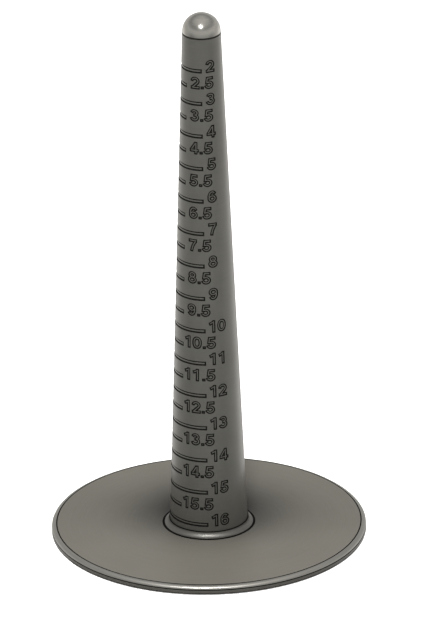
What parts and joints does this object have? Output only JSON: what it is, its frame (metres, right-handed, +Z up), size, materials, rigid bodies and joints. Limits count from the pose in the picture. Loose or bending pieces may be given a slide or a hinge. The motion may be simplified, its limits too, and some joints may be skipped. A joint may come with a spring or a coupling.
{
  "type": "ring mandrel",
  "caption": "Free-standing bench ring mandrel: a graduated steel taper with a domed nose, screwed to a round base plate, for reading a finger ring's size.",
  "frame": {"origin": "centre of the underside, on the surface that the mandrel stands on", "axes": "+Z up the taper to the nose; the ends of the long graduation lines and the whole-size numbers face -Y"},
  "size_m": [0.1006, 0.1006, 0.1804],
  "materials": {
    "base_steel": "face-turned satin steel",
    "pad_rubber": "matt moulded rubber",
    "foot_steel": "turned and buffed steel",
    "shank_steel": "ground satin steel, engraved",
    "nose_steel": "polished steel",
    "screw_steel": "blackened steel",
    "pin_steel": "ground steel"
  },
  "bodies": {
    "root": {"base_plate": "base_steel", "non_slip_pad": "pad_rubber", "foot_ring": "foot_steel", "mandrel_shank": "shank_steel", "nose_cap": "nose_steel", "centre_screw": "screw_steel", "locating_pin_left": "pin_steel", "locating_pin_right": "pin_steel"}
  },
  "joints": []
}
